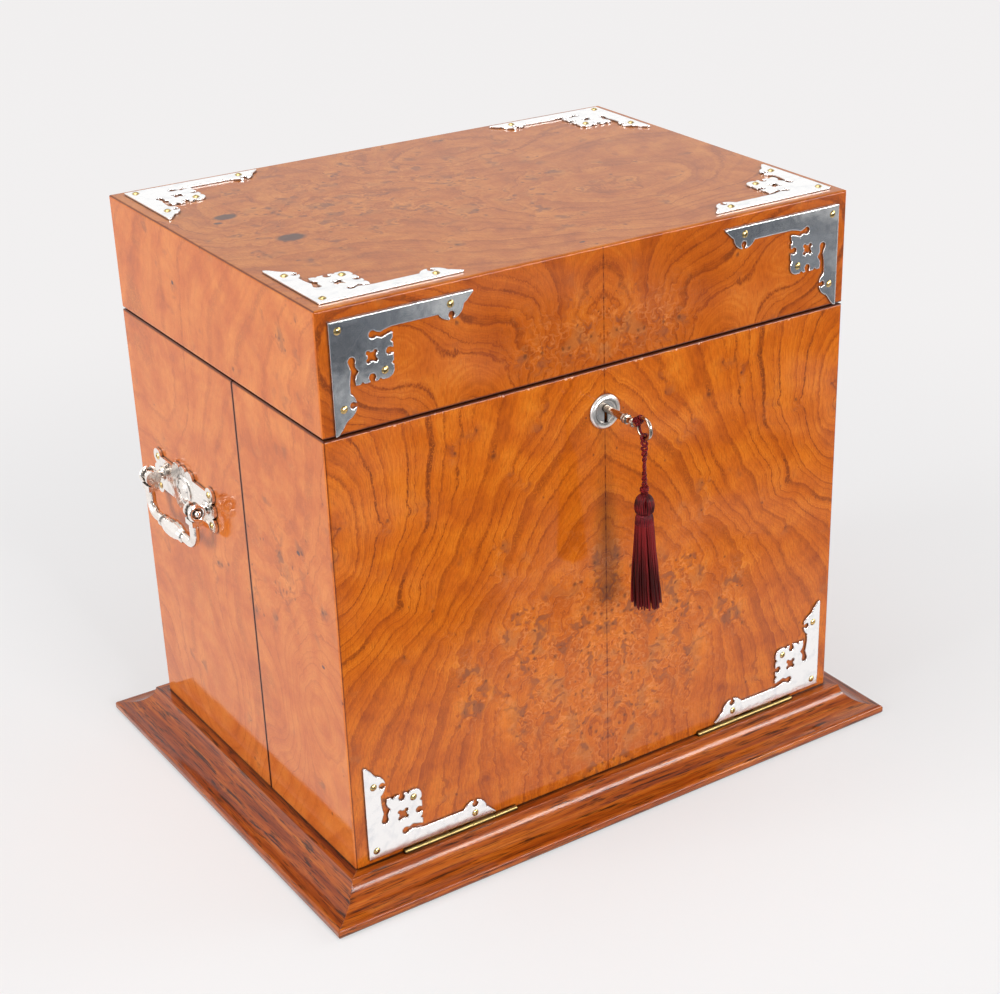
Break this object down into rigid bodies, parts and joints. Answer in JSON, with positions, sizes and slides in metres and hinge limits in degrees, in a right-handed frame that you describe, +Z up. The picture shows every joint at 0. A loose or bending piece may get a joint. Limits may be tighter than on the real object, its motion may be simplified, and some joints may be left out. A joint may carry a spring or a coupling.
{
  "type": "tantalus",
  "caption": "Lockable wooden spirit case with a lift-up lid, a falling front, pierced corner mounts, bail handles, square decanters and tumblers.",
  "frame": {"origin": "centre of the underside of the plinth, on the surface that the case stands on", "axes": "+Z up, -Y out of the front, +X to the right seen from the front"},
  "size_m": [0.36, 0.2883, 0.3153],
  "materials": {
    "burr_veneer": "burr veneer, book-matched, french polished to a high gloss",
    "oak": "stained and polished oak",
    "rack_wood": "waxed mahogany",
    "cut_glass": "clear cut crystal",
    "silver_plate": "silver plate, mirror polished",
    "brass": "polished brass",
    "silk": "burgundy silk cord and fringe"
  },
  "bodies": {
    "case": {"base_board": "oak", "plinth_front": "oak", "plinth_back": "oak", "plinth_left": "oak", "plinth_right": "oak", "case_back": "burr_veneer", "case_side_left": "burr_veneer", "case_side_right": "burr_veneer", "seam_stops": "oak", "decanter_rail": "rack_wood", "decanter_dividers": "rack_wood", "tumbler_gallery": "rack_wood", "decanter_left": "cut_glass", "decanter_centre": "cut_glass", "decanter_right": "cut_glass", "stopper_left": "cut_glass", "stopper_centre": "cut_glass", "stopper_right": "cut_glass", "tumbler_1": "cut_glass", "tumbler_2": "cut_glass", "tumbler_3": "cut_glass", "tumbler_4": "cut_glass", "lid_hinge_case_leaves": "brass", "lid_hinge_pins": "brass", "front_hinge_base_leaves": "brass", "front_hinge_pins": "brass", "handle_plate_left": "silver_plate", "handle_plate_right": "silver_plate", "handle_pins_left": "silver_plate", "handle_pins_right": "silver_plate", "handle_screws_left": "brass", "handle_screws_right": "brass"},
    "lid": {"lid_top": "burr_veneer", "lid_front": "burr_veneer", "lid_back": "burr_veneer", "lid_left": "burr_veneer", "lid_right": "burr_veneer", "lid_top_mounts": "silver_plate", "lid_front_mounts": "silver_plate", "lid_mount_screws": "brass", "lid_hinge_lid_leaves": "brass", "link_plate": "brass", "link_staples": "brass"},
    "fall_front": {"front_panel": "burr_veneer", "front_cheek_left": "burr_veneer", "front_cheek_right": "burr_veneer", "case_front_mounts": "silver_plate", "front_mount_screws": "brass", "front_hinge_front_leaves": "brass", "lock_case": "brass", "escutcheon": "silver_plate"},
    "lock_bolt": {"lock_bolt": "brass"},
    "key": {"key": "silver_plate"},
    "tassel": {"tassel_cord": "silk", "tassel_head": "silk", "tassel_fringe": "silk"},
    "bail_left": {"bail_left": "silver_plate"},
    "bail_right": {"bail_right": "silver_plate"}
  },
  "joints": [
    {"name": "lid_hinge", "type": "hinge", "parent": "case", "child": "lid", "pos_m": [0, 0.1137, 0.2517], "axis": [-1, 0, 0], "range_deg": [0, 96]},
    {"name": "front_fall", "type": "hinge", "parent": "case", "child": "fall_front", "pos_m": [0, -0.1128, 0.0179], "axis": [1, 0, 0], "range_deg": [0, 84]},
    {"name": "key_turn", "type": "hinge", "parent": "fall_front", "child": "key", "pos_m": [0, -0.1115, 0.2299], "axis": [0, 1, 0], "range_deg": [0, 90]},
    {"name": "lock_bolt_slide", "type": "slide", "parent": "fall_front", "child": "lock_bolt", "axis": [-1, 0, 0], "range_m": [0, 0.0045]},
    {"name": "tassel_hang", "type": "hinge", "parent": "key", "child": "tassel", "pos_m": [0, -0.1445, 0.2248], "axis": [0, 1, 0], "range_deg": [-90, 0]},
    {"name": "bail_left_swing", "type": "hinge", "parent": "case", "child": "bail_left", "pos_m": [-0.1642, 0.051, 0.1678], "axis": [0, 1, 0], "range_deg": [0, 90]},
    {"name": "bail_right_swing", "type": "hinge", "parent": "case", "child": "bail_right", "pos_m": [0.1642, 0.051, 0.1678], "axis": [0, -1, 0], "range_deg": [0, 90]}
  ],
  "couplings": [
    {"joint": "front_fall", "follows": "lid_hinge", "ratio": 0.875},
    {"joint": "key_turn", "follows": "lock_bolt_slide", "rad_per_m": 349.07},
    {"joint": "tassel_hang", "follows": "lock_bolt_slide", "rad_per_m": -349.07}
  ]
}
